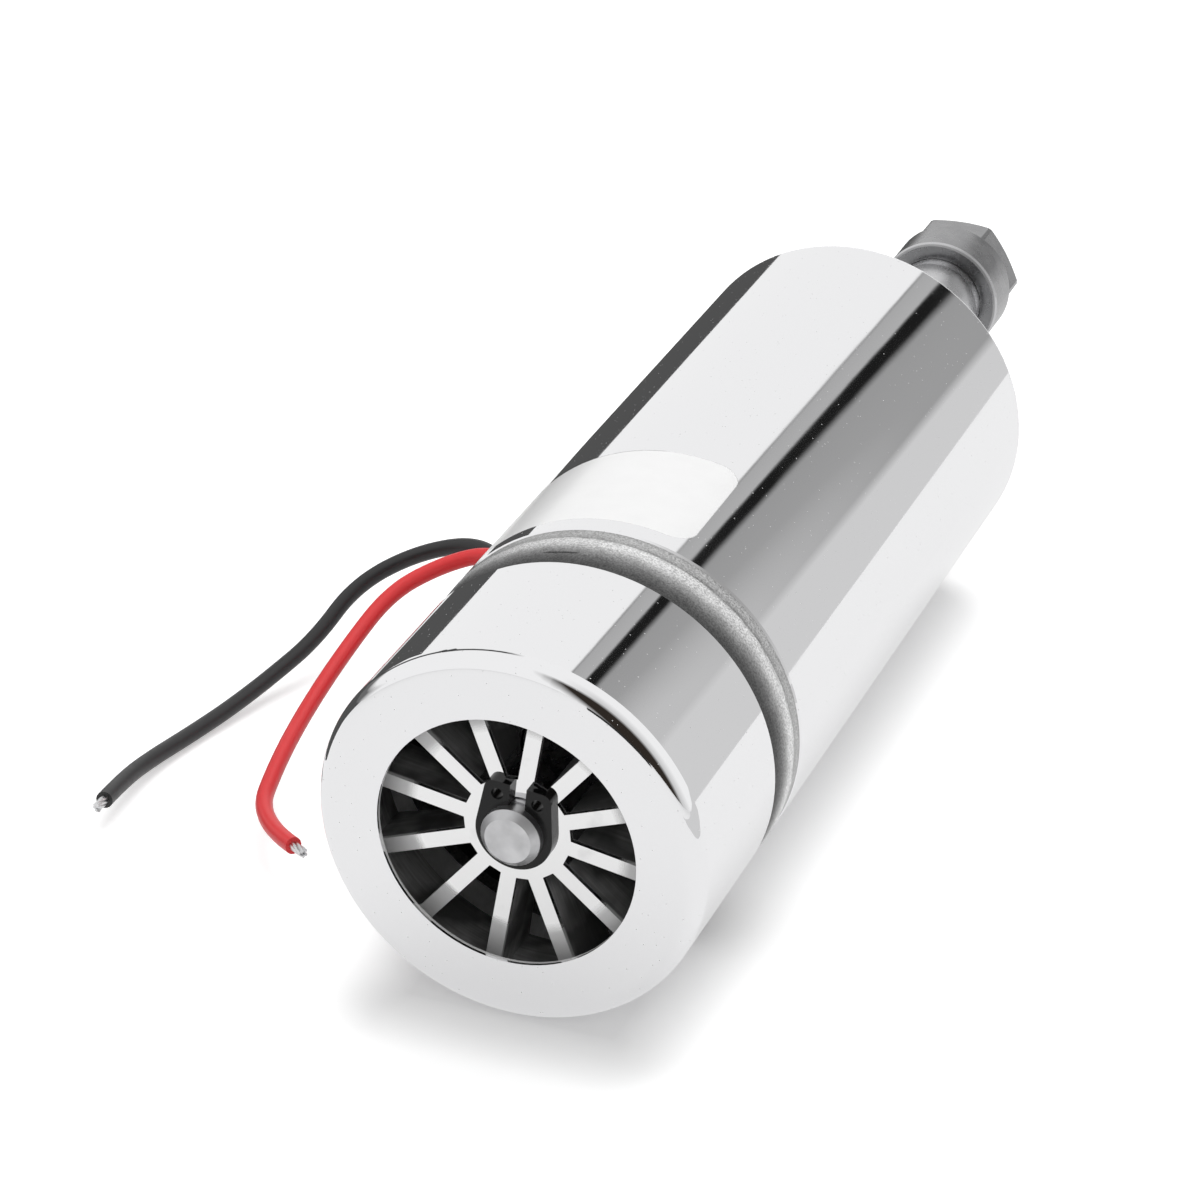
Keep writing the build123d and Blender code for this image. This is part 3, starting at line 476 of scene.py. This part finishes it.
def coated(name, base, roughness, scale=1200, relief=0.00001, shade=0.2, specular=0.5):
    """Rubber, plastic, film or oxide: a flat colour with a fine texture."""
    surface = Surface(name, base, 0.0, roughness)
    surface.set("Specular IOR Level", specular)
    pattern = surface.noise(scale, 4)
    surface.set("Base Color", surface.mix_color(pattern, darker(base, shade), base))
    surface.set("Roughness", surface.contrast(pattern, roughness * 0.85, roughness * 1.15))
    surface.bump(pattern, relief)
    return surface.material


NUT_COLORS = ((0.30, 0.30, 0.305), (0.36, 0.36, 0.365))
NUT_RIM_HIGHLIGHT_COLOR = (0.60, 0.60, 0.61)
NUT_ROUGHNESS = (0.25, 0.29)
NUT_RELIEF = 0.0000012


def nut_material():
    """Dark turned steel with a painted highlight along the rim of its rear collar."""
    surface = Surface("nut_steel", (0.33, 0.33, 0.335), 1.0, 0.26)
    stain = surface.noise(scale=420, detail=3)
    plain = surface.mix_color(surface.contrast(stain), *NUT_COLORS)
    near_rear = surface.spread(
        surface.axis_value("Y"), NUT_REAR + NUT_CHAMFER * 1.2, NUT_REAR + NUT_CHAMFER
    )
    rim = NUT_COLLAR_RADIUS - NUT_CHAMFER * 0.4
    near_rim = surface.spread(surface.axis_radius(), rim - NUT_CHAMFER * 0.2, rim)
    # Painted highlight: a bright line along the rim of the rear collar's chamfer.
    corner = surface.multiply(near_rear, near_rim)
    surface.set("Base Color", surface.mix_color(corner, plain, NUT_RIM_HIGHLIGHT_COLOR))
    surface.set("Roughness", surface.contrast(stain, *NUT_ROUGHNESS))
    surface.bump(surface.noise(scale=2400, detail=3, stretch=(0.2, 1, 0.2)), NUT_RELIEF)
    return surface.material


SHAFT_COLORS = ((0.52, 0.52, 0.53), (0.70, 0.70, 0.71))
SHAFT_ROUGHNESS = (0.38, 0.44)
SHAFT_RELIEF = 0.0000012
NOSE_COLOR = (0.66, 0.66, 0.67)
NOSE_SMOOTHING = 0.14


def shaft_material():
    """Ground steel, smoother on the nose in front of the tube."""
    surface = Surface("ground_steel", SHAFT_COLORS[1], 1.0, 0.24)
    nose = surface.spread(surface.axis_value("Y"), 0.0, NOSE_START)
    stain = surface.noise(scale=400, detail=2)
    worn = surface.mix_color(surface.contrast(stain), *SHAFT_COLORS)
    surface.set("Base Color", surface.mix_color(nose, worn, NOSE_COLOR))
    dull = surface.contrast(stain, *SHAFT_ROUGHNESS)
    surface.set("Roughness", surface.subtract(dull, surface.multiply(nose, NOSE_SMOOTHING)))
    surface.bump(surface.noise(scale=2200, detail=3, stretch=(0.15, 1, 0.15)), SHAFT_RELIEF)
    return surface.material


# The fan: bright spokes in front whose ends are painted darker as shade, and blades behind
# painted dark as shade, whose tones vary in patches
SPOKE_COLOR = grey(0.90)
SPOKE_SPOT_COLOR = grey(0.74)
SPOKE_END_SHADE_COLOR = grey(0.66)
SPOT_SPAN = (0.60, 0.74)
PATCH_SPAN = (0.44, 0.66)
BLADE_PAINTED_SHADE_TONES = (grey(0.15), grey(0.42))
BLADE_PAINTED_SHADE_LINES = (grey(0.19), grey(0.62))
SPOKE_ROUGHNESS = 0.035
SPOT_ROUGHNESS = 0.12
END_ROUGHNESS = 0.40
BLADE_ROUGHNESS = 0.37
BLADE_DULLING = 0.5
END_DULLING = 0.8
SHEET_WAVE_RELIEF = 0.00001
BRUSHED_RELIEF = 0.000003


def fan_material():
    """Stamped sheet: mirror-bright spokes with dull spots and dull ends in painted shade, and
    brushed blades painted dark as shade.
    """
    surface = Surface("stamped_sheet", SPOKE_COLOR, 1.0, 0.05)
    behind = surface.spread(
        surface.axis_value("Y"), FAN_FACE + FAN_SHEET * 0.6, FAN_FACE + FAN_SHEET
    )
    brushing = surface.noise(scale=2600, detail=5, stretch=(0.05, 1.0, 0.05))
    spots = surface.spread(surface.noise(scale=170, detail=3), *SPOT_SPAN)
    spoke = surface.mix_color(spots, SPOKE_COLOR, SPOKE_SPOT_COLOR)
    patches = surface.spread(surface.noise(scale=150, detail=2), *PATCH_SPAN)
    # Painted shade: the blades are the same bright sheet, coloured dark for the shade behind the
    # disc; patches vary it at random.
    shaded_patches = surface.mix_color(patches, *BLADE_PAINTED_SHADE_TONES)
    shaded_lines = surface.mix_color(patches, *BLADE_PAINTED_SHADE_LINES)
    shaded_blade = surface.mix_color(surface.contrast(brushing), shaded_patches, shaded_lines)
    # Painted shade: the spokes' ends, under the cap's lip, are coloured darker as well as dulled.
    ends = surface.spread(surface.axis_radius(), SPOKE_DULL_START, SPOKE_DULL_END)
    front_ends = surface.multiply(ends, surface.subtract(1.0, behind))
    face = surface.mix_color(front_ends, spoke, SPOKE_END_SHADE_COLOR)
    surface.set("Base Color", surface.mix_color(behind, face, shaded_blade))
    polish = surface.add(SPOKE_ROUGHNESS, surface.multiply(spots, SPOT_ROUGHNESS))
    polish = surface.add(polish, surface.multiply(ends, END_ROUGHNESS))
    blade_roughness = surface.multiply(behind, BLADE_ROUGHNESS)
    surface.set("Roughness", surface.larger(polish, blade_roughness))
    blade_dulling = surface.multiply(behind, BLADE_DULLING)
    dulling = surface.larger(blade_dulling, surface.multiply(front_ends, END_DULLING))
    surface.set("Metallic", surface.subtract(1.0, dulling))
    wave = surface.bump(surface.noise(scale=60, detail=2), SHEET_WAVE_RELIEF)
    surface.bump(brushing, BRUSHED_RELIEF, over=wave)
    return surface.material


def dress(material, *names):
    for name in names:
        mesh = nodes_by_name[name].data
        mesh.materials.clear()
        mesh.materials.append(material)


def dress_nodes():
    dress(tube_material(), "motor_tube")
    dress(cap_material(), "rear_cap")
    dress(cast_material(), "rear_bell")
    dress(turned_metal("faced_plate", (0.70, 0.71, 0.72), 0.3), "front_plate")
    dress(coated("felt", (0.22, 0.21, 0.20), 0.95, 3000, 0.00005), "front_seal")
    dress(
        metal("plain_steel", (0.50, 0.50, 0.51), 0.35),
        "bearing_retainer", "retainer_screws", "tie_bolts", "card_screws",
    )
    dress(
        metal("bearing_steel", (0.68, 0.68, 0.69), 0.18),
        "front_bearing_outer", "second_bearing_outer", "rear_bearing_outer",
        "front_bearing_inner", "second_bearing_inner", "rear_bearing_inner",
    )
    dress(
        metal("spring_steel", (0.42, 0.42, 0.44), 0.3),
        "wave_washer", "magnet_clips", "brush_spring_left", "brush_spring_right",
    )
    dress(coated("black_rubber", (0.03, 0.03, 0.03), 0.6), "lead_grommet")
    dress(coated("ferrite", (0.07, 0.07, 0.075), 0.55, 900, 0.00003), "field_magnets")
    dress(coated("laminate", (0.30, 0.17, 0.08), 0.5, 700), "brush_card")
    dress(metal("brass", (0.78, 0.58, 0.28), 0.25), "brush_holder_left", "brush_holder_right")
    dress(
        coated("carbon", (0.04, 0.04, 0.042), 0.5, 2500, 0.00003), "brush_left", "brush_right"
    )
    dress(coated("inner_leads", (0.06, 0.03, 0.03), 0.45), "brush_leads")
    dress(shaft_material(), "spindle_shaft")
    dress(turned_metal("plain_spacer", (0.60, 0.60, 0.61), 0.28), "fan_spacer")
    dress(
        metal("laminations", (0.32, 0.32, 0.33), 0.4, 1000, (0.2, 4, 0.2), 0.00002),
        "armature_core",
    )
    dress(
        metal("copper_wire", (0.62, 0.25, 0.10), 0.35, 1800, relief=0.00005), "armature_windings"
    )
    dress(metal("copper_bars", (0.78, 0.40, 0.22), 0.3), "commutator")
    dress(coated("phenolic", (0.10, 0.06, 0.045), 0.5), "commutator_hub")
    dress(
        coated("black_oxide", (0.006, 0.006, 0.006), 0.22, 1500, 0.000006, specular=0.3),
        "fan_circlip", "bearing_circlip",
    )
    dress(fan_material(), "cooling_fan")
    dress(metal("collet_steel", (0.50, 0.50, 0.51), 0.28), "collet")
    dress(nut_material(), "collet_nut")


def linked(name, data):
    """A new object in the scene."""
    piece = bpy.data.objects.new(name, data)
    scene.collection.objects.link(piece)
    return piece


def aim(piece, direction):
    piece.rotation_mode = "QUATERNION"
    piece.rotation_quaternion = direction.to_track_quat("-Z", "Y")


def view_direction():
    return Vector((
        sin(CAMERA_YAW) * cos(CAMERA_PITCH),
        cos(CAMERA_YAW) * cos(CAMERA_PITCH),
        -sin(CAMERA_PITCH),
    ))


def make_camera():
    data = bpy.data.cameras.new("camera")
    data.lens = CAMERA_LENS
    data.sensor_width = SENSOR_WIDTH
    data.clip_start, data.clip_end = CAMERA_RANGE
    camera = linked("camera", data)
    camera.location = CAMERA_PLACE
    aim(camera, view_direction())
    scene.camera = camera


def round_curve(name, radius, roundness):
    curve = bpy.data.curves.new(name, "CURVE")
    curve.dimensions = "3D"
    curve.bevel_depth = radius
    curve.bevel_resolution = roundness
    curve.resolution_u = 12
    curve.use_fill_caps = True
    return curve


def add_line(curve, places):
    """Adds a smooth line that begins and ends at its first and last places."""
    spline = curve.splines.new("NURBS")
    spline.points.add(len(places) - 1)
    for point, place in zip(spline.points, places):
        point.co = (*place, 1)
    spline.order_u = 3
    spline.use_endpoint_u = True


def lead_line(name, route):
    curve = round_curve(name, LEAD_DIAMETER / 2, roundness=6)
    add_line(curve, [(x * MM, y * MM, z * MM) for x, y, z in route])
    return linked(name, curve)


def strands(name, route):
    """Tinned strands at a stripped end, twisted round the lead's own line."""
    end = Vector(route[-1]) * MM
    way = (end - Vector(route[-2]) * MM).normalized()
    side = way.orthogonal().normalized()
    other = way.cross(side)
    curve = round_curve(name, STRAND_RADIUS, roundness=3)
    for n in range(STRAND_COUNT):
        lay = STRAND_LAY_RADIUS if n else 0.0
        spare = STRAND_SPARE * sin(STRAND_LENGTH_STEP * n) ** 2
        length = STRAND_LENGTH * (STRAND_SHORTEST + spare)
        places = []
        for step in range(STRAND_POINTS):
            share = step / (STRAND_POINTS - 1)
            angle = 2 * pi * n / (STRAND_COUNT - 1) + STRAND_TWIST * share
            radius = lay * (1 + STRAND_SPLAY * share * sin(STRAND_SPLAY_STEP * n))
            middle = end + way * (length * share)
            places.append(middle + side * (radius * cos(angle)) + other * (radius * sin(angle)))
        add_line(curve, places)
    return linked(name, curve)


def make_leads():
    insulation = {
        "red": coated("red_insulation", (0.80, 0.035, 0.04), 0.33, 900, 0.000004, shade=0.08),
        "black": coated(
            "black_insulation", (0.022, 0.022, 0.023), 0.38, 900, 0.000005, shade=0.15
        ),
    }
    tinned = metal("tinned_wire", (0.82, 0.82, 0.83), 0.28, 2500, relief=0.00002)
    leads = (("red", RED_ROUTE, RED_LENGTH), ("black", BLACK_ROUTE, BLACK_LENGTH))
    for color, route, length in leads:
        lead = lead_line(f"{color}_lead_line", route)
        lead.data.materials.append(insulation[color])
        tip = strands(f"{color}_strands", route)
        tip.data.materials.append(tinned)
        for piece, node, slot in (
            (lead, f"{color}_lead", f"{color}_insulation"),
            (tip, f"{color}_lead_tip", "tinned_wire"),
        ):
            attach(piece, "housing")
            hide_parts(node)


# Floor: it is lit and takes shadows. For the camera it also glows, but the glow fades out round
# the strip where the body rests, a painted shadow on top of the real one, and reflections show it
# in a plain grey.
FLOOR_HEIGHT = cad_low.z - 0.1 * MM
FLOOR_REACH = 4.0
FLOOR_LEVEL = 0.80
FLOOR_SEEN_LEVEL = 0.98
FLOOR_MIRRORED_LEVEL = 0.42
FLOOR_GLOW = 0.38
FLOOR_MIRRORED_GLOW = 0.50
SHADOW_STRIP_HALF_WIDTH = 14 * MM
SHADOW_STRIP_REAR = -133 * MM
SHADOW_STRIP_FRONT = -2 * MM
SHADOW_STRIP_FADE = 12 * MM

# Patches of floor that only reflections show: piece, material, glow and outline in metres
PATCH_LIFT = 0.3 * MM
FLOOR_PATCHES = (
    ("dark_floor_left", "dark_glow", 0.085, (
        (-0.045, 0.025), (-0.045, FLOOR_REACH), (-FLOOR_REACH, FLOOR_REACH),
        (-FLOOR_REACH, -1.2), (-0.28, -0.145), (-0.106, -0.125), (-0.072, -0.066),
        (-0.078, -0.030), (-0.088, 0.025),
    )),
    ("dark_floor_back", "back_glow", 0.03, (
        (-0.03, -0.38), (-0.3, -FLOOR_REACH), (1.2, -FLOOR_REACH), (0.10, -0.50),
    )),
    ("grey_floor_right", "grey_glow", 0.66, (
        (0.16, -0.3), (FLOOR_REACH, -0.3), (FLOOR_REACH, FLOOR_REACH), (0.16, FLOOR_REACH),
    )),
)


def empty_material(name):
    material = bpy.data.materials.new(name)
    material.use_nodes = True
    graph = Graph(material.node_tree)
    graph.nodes.clear()
    return material, graph


def glow_material(name, strength):
    material, graph = empty_material(name)
    emission = graph.shade("ShaderNodeEmission", Strength=strength)
    graph.finish("ShaderNodeOutputMaterial", emission)
    return material


def floor_material():
    """Pale floor that takes shadows and glows for the camera and for reflections, with a painted
    shadow where the camera's glow fades at the body.
    """
    material, graph = empty_material("floor")
    direct, glossy = graph.ray_kinds()
    seen = graph.spread(direct, 0.0, 1.0, FLOOR_LEVEL, FLOOR_SEEN_LEVEL)
    tone = graph.spread(glossy, 0.0, 1.0, seen, FLOOR_MIRRORED_LEVEL)
    x, y, _ = graph.parts(graph.coordinates("Object"))
    # Painted shadow: the camera's glow fades to nothing round the strip where the body rests.
    aside = graph.excess(graph.math("ABSOLUTE", x), SHADOW_STRIP_HALF_WIDTH)
    behind = graph.excess(SHADOW_STRIP_REAR, y)
    lengthwise = graph.larger(behind, graph.subtract(y, SHADOW_STRIP_FRONT))
    away = graph.hypotenuse(aside, lengthwise)
    glow_outside_painted_shadow = graph.spread(away, 0.0, SHADOW_STRIP_FADE, 0.0, FLOOR_GLOW)
    mirrored_glow = graph.multiply(glossy, FLOOR_MIRRORED_GLOW)
    strength = graph.math("MULTIPLY_ADD", direct, glow_outside_painted_shadow, mirrored_glow)
    both = graph.nodes.new("ShaderNodeAddShader")
    graph.links.new(graph.shade("ShaderNodeBsdfDiffuse", Color=tone), both.inputs[0])
    graph.links.new(graph.shade("ShaderNodeEmission", Strength=strength), both.inputs[1])
    graph.finish("ShaderNodeOutputMaterial", both.outputs[0])
    return material


def stage_sheet(name, outline, height, material):
    mesh = bpy.data.meshes.new(name)
    corners = [(x, y, height) for x, y in outline]
    mesh.from_pydata(corners, [], [tuple(range(len(corners)))])
    mesh.materials.append(material)
    piece = linked(name, mesh)
    return piece


def make_stage():
    reach = FLOOR_REACH
    square = ((-reach, -reach), (reach, -reach), (reach, reach), (-reach, reach))
    stage_sheet("floor", square, FLOOR_HEIGHT, floor_material())
    for name, material_name, strength, outline in FLOOR_PATCHES:
        glow = glow_material(material_name, strength)
        patch = stage_sheet(name, outline, FLOOR_HEIGHT + PATCH_LIFT, glow)
        patch.visible_camera = False
        patch.visible_diffuse = False
        patch.visible_shadow = False
        patch.visible_transmission = False


# The studio that metal reflects, by the direction from the object. Two straight edges cut it
# into a white panel on the left, a black gap and grey panels on the right.
PANEL_EDGE = (0.829, -0.419, 0.371)
PANEL_SPAN = 0.5
PANEL_STOPS = (
    (0.0, 0.93), (0.392, 0.93), (0.400, 0.25), (0.407, 0.42), (0.465, 0.46), (0.474, 0.012),
    (0.510, 0.012), (0.530, 0.34), (0.60, 0.36), (0.68, 0.56), (1.0, 0.60),
)
SIDE_EDGE = (0.768, -0.361, -0.5275)
SIDE_LEVEL = 0.66
SIDE_SOFTNESS = 0.02
# Areas over it, each with a level and the ranges of the direction's parts over which it fades
# in: white everywhere but straight ahead, then a dark line on the left, a dark horizon far
# left, a grey room on the right and a dark one behind the camera.
WHITE_Y = (0.800, 0.775)
WHITE_LEVEL = 0.94
LINE_Y = 0.57
LINE_WIDTH = 0.10
LINE_SHARPNESS = (1.0, 0.5)
LINE_X = (-0.24, -0.36)
LINE_LEVEL = 0.05
HORIZON_Z = (0.17, 0.09)
HORIZON_X = (-0.80, -0.90)
HORIZON_Y = (-0.50, -0.10)
HORIZON_LEVEL = 0.15
GREY_ROOM_X = (0.10, 0.40)
GREY_ROOM_Y = (0.10, -0.60)
GREY_ROOM_LEVEL = 0.56
DARK_ROOM_X = (-0.16, 0.06)
DARK_ROOM_Y = (-0.48, -0.68)
DARK_ROOM_COLOR = (0.030, 0.024, 0.020)
# What lights the object, and what the camera sees past the floor
SKY_LIGHT = 0.60
SKY_SEEN_LEVEL = 1.0


def make_world():
    world = bpy.data.worlds.new("studio")
    world.use_nodes = True
    scene.world = world
    graph = Graph(world.node_tree)
    graph.nodes.clear()
    way = graph.coordinates("Generated")
    x, y, z = graph.parts(way)
    spread = graph.spread
    panels = graph.ramp(spread(graph.dot(way, PANEL_EDGE), -PANEL_SPAN, PANEL_SPAN), PANEL_STOPS)
    beside = spread(graph.dot(way, SIDE_EDGE), -SIDE_SOFTNESS, SIDE_SOFTNESS)
    sky = graph.mix_color(beside, panels, grey(SIDE_LEVEL))
    sky = graph.mix_color(spread(y, *WHITE_Y), sky, grey(WHITE_LEVEL))
    off_line = graph.math("DIVIDE", graph.math("ABSOLUTE", graph.subtract(y, LINE_Y)), LINE_WIDTH)
    line = graph.multiply(spread(off_line, *LINE_SHARPNESS), spread(x, *LINE_X))
    sky = graph.mix_color(line, sky, grey(LINE_LEVEL))
    horizon = graph.multiply(spread(z, *HORIZON_Z), spread(x, *HORIZON_X))
    horizon = graph.multiply(horizon, spread(y, *HORIZON_Y))
    sky = graph.mix_color(horizon, sky, grey(HORIZON_LEVEL))
    grey_room = graph.multiply(spread(x, *GREY_ROOM_X), spread(y, *GREY_ROOM_Y))
    sky = graph.mix_color(grey_room, sky, grey(GREY_ROOM_LEVEL))
    dark_room = graph.multiply(spread(x, *DARK_ROOM_X), spread(y, *DARK_ROOM_Y))
    sky = graph.mix_color(dark_room, sky, DARK_ROOM_COLOR)
    direct, glossy = graph.ray_kinds()
    lit = graph.mix_color(glossy, grey(SKY_LIGHT), sky)
    color = graph.mix_color(direct, lit, grey(SKY_SEEN_LEVEL))
    graph.finish("ShaderNodeOutputWorld", graph.shade("ShaderNodeBackground", Color=color))


# Lamps: name, place in metres, diameter in metres and power in watts
LAMPS = (
    ("key", (-0.06, 0.30, 0.92), 0.8, 4.6),
    ("front_fill", (0.35, -0.75, 0.55), 0.6, 0.7),
)
LAMP_TARGET = Vector((-0.01, -0.05, 0.0))


def make_lights():
    """Plain lamps, which reflections don't show."""
    for name, place, size, power in LAMPS:
        data = bpy.data.lights.new(name, "AREA")
        data.shape = "DISK"
        data.size = size
        data.energy = power
        lamp = linked(name, data)
        lamp.location = place
        lamp.visible_glossy = False
        aim(lamp, LAMP_TARGET - Vector(place))


make_camera()
make_leads()
dress_nodes()
make_stage()
make_world()
make_lights()
scene.view_settings.view_transform = "Standard"
